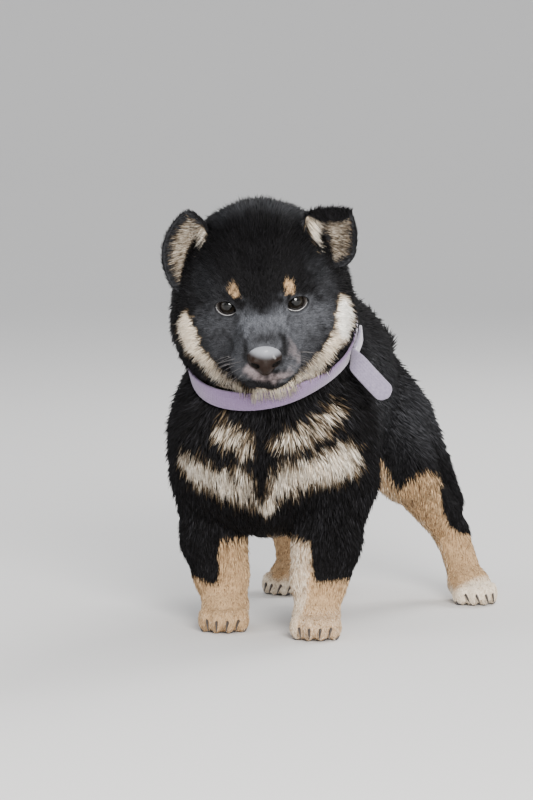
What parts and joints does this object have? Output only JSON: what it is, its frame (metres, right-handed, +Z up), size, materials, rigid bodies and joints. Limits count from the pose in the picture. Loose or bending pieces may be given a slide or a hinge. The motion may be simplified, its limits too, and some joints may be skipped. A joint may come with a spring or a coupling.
{
  "type": "shiba inu puppy",
  "caption": "Life-size standing black and tan shiba inu puppy with one upright and one tipped ear and a soft neckband.",
  "frame": {"origin": "middle of the bounding box's foot, on the floor between the paws", "axes": "-Y is the way the body faces, +X is the puppy's left side, +Z is up"},
  "size_m": [0.142, 0.2522, 0.2206],
  "materials": {
    "black_coat": "dense matt puppy fur, black with a bluish grey sheen",
    "tan_coat": "dense matt puppy fur, tan to cream",
    "dark_eye": "wet, very dark brown",
    "nose_leather": "damp, finely pebbled, blackish brown",
    "lilac_band": "soft matt woven band",
    "dark_claw": "horn, dark, slightly glossy"
  },
  "bodies": {
    "root": {"belly": "black_coat", "chest": "black_coat", "claw_fore_left_1": "dark_claw", "claw_fore_left_2": "dark_claw", "claw_fore_left_3": "dark_claw", "claw_fore_left_4": "dark_claw", "claw_fore_right_1": "dark_claw", "claw_fore_right_2": "dark_claw", "claw_fore_right_3": "dark_claw", "claw_fore_right_4": "dark_claw", "claw_hind_left_1": "dark_claw", "claw_hind_left_2": "dark_claw", "claw_hind_left_3": "dark_claw", "claw_hind_left_4": "dark_claw", "claw_hind_right_1": "dark_claw", "claw_hind_right_2": "dark_claw", "claw_hind_right_3": "dark_claw", "claw_hind_right_4": "dark_claw", "ear_left": "black_coat", "ear_right": "black_coat", "eye_left": "dark_eye", "eye_right": "dark_eye", "foreleg_left": "black_coat", "foreleg_right": "black_coat", "forepaw_left": "tan_coat", "forepaw_right": "tan_coat", "head": "black_coat", "hindpaw_left": "tan_coat", "hindpaw_right": "tan_coat", "neck": "black_coat", "neckband": "lilac_band", "nose": "nose_leather", "rump": "black_coat", "shank_left": "tan_coat", "shank_right": "tan_coat", "strap_end": "lilac_band", "tail": "black_coat", "thigh_left": "black_coat", "thigh_right": "black_coat"}
  },
  "joints": []
}
